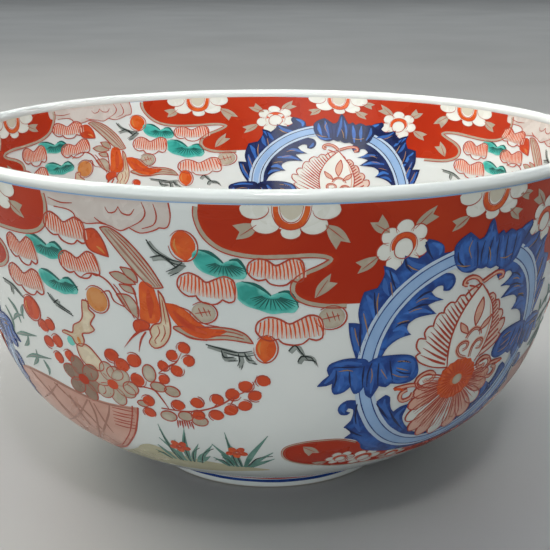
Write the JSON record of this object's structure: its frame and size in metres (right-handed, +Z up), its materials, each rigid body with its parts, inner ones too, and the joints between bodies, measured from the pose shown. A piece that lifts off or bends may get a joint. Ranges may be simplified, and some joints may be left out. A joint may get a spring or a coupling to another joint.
{
  "type": "serving bowl",
  "caption": "Deep round footed serving bowl with a rolled lip and a turned foot ring, for holding and serving food or for display.",
  "frame": {"origin": "centre of the plane that the foot ring rests on", "axes": "+Z up along the bowl's axis; -Y is the front, +X to the right seen from the front"},
  "size_m": [0.3, 0.3, 0.16],
  "materials": {
    "porcelain_body": "clear bluish glaze over white porcelain, gloss",
    "porcelain_lip": "white glaze, gloss",
    "porcelain_foot": "bluish glaze, gloss, with a bare resting edge",
    "iron_red_enamel": "overglaze iron red, satin gloss",
    "cobalt_underglaze": "dark underglaze blue, gloss",
    "pale_blue_underglaze": "washed underglaze blue, gloss",
    "green_enamel": "translucent turquoise enamel, raised, gloss",
    "orange_enamel": "overglaze orange red, satin gloss",
    "pink_enamel": "thin overglaze pink wash, satin",
    "white_reserve": "white reserve with warm shading, gloss",
    "gilding": "worn matt gold",
    "dark_outline": "thin dark brush line, gloss"
  },
  "bodies": {
    "root": {"bowl_body": "porcelain_body", "rim_lip": "porcelain_lip", "foot_ring": "porcelain_foot"}
  },
  "joints": []
}
